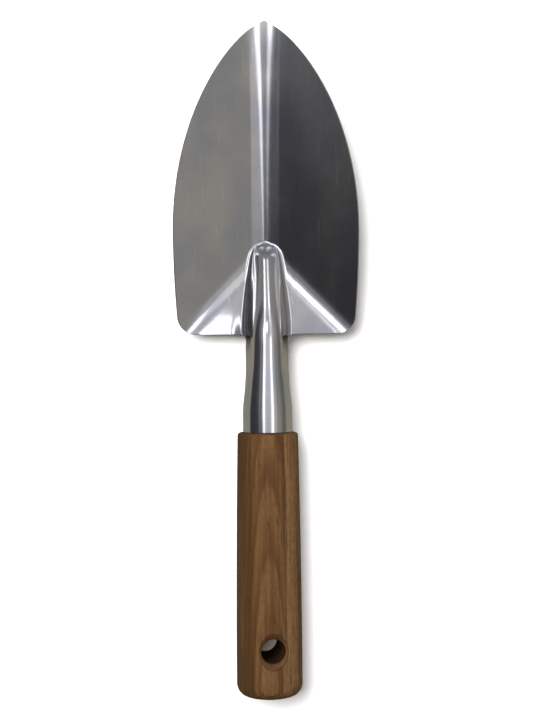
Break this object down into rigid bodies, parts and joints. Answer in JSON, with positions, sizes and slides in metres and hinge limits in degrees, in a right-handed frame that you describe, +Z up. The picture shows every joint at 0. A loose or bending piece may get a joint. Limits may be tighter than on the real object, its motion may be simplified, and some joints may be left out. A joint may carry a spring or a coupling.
{
  "type": "hand trowel",
  "caption": "Garden hand trowel: a V-shaped pressed stainless scoop with a rolled socket, nailed to a turned wooden handle with a hanging hole.",
  "frame": {"origin": "on the bench under the middle of the tool as it lies with its hollow side up, halfway along its length", "axes": "+Y from the butt of the handle to the tip of the blade, +Z up out of the hollow of the scoop, +X to the right"},
  "size_m": [0.082, 0.2981, 0.029],
  "materials": {
    "stainless": "polished, with fine hairline scratches",
    "oiled_wood": "turned, sanded and oiled open-grained hardwood",
    "nail_steel": "plain bright steel"
  },
  "bodies": {
    "root": {"blade": "stainless", "handle": "oiled_wood", "nail": "nail_steel"}
  },
  "joints": []
}
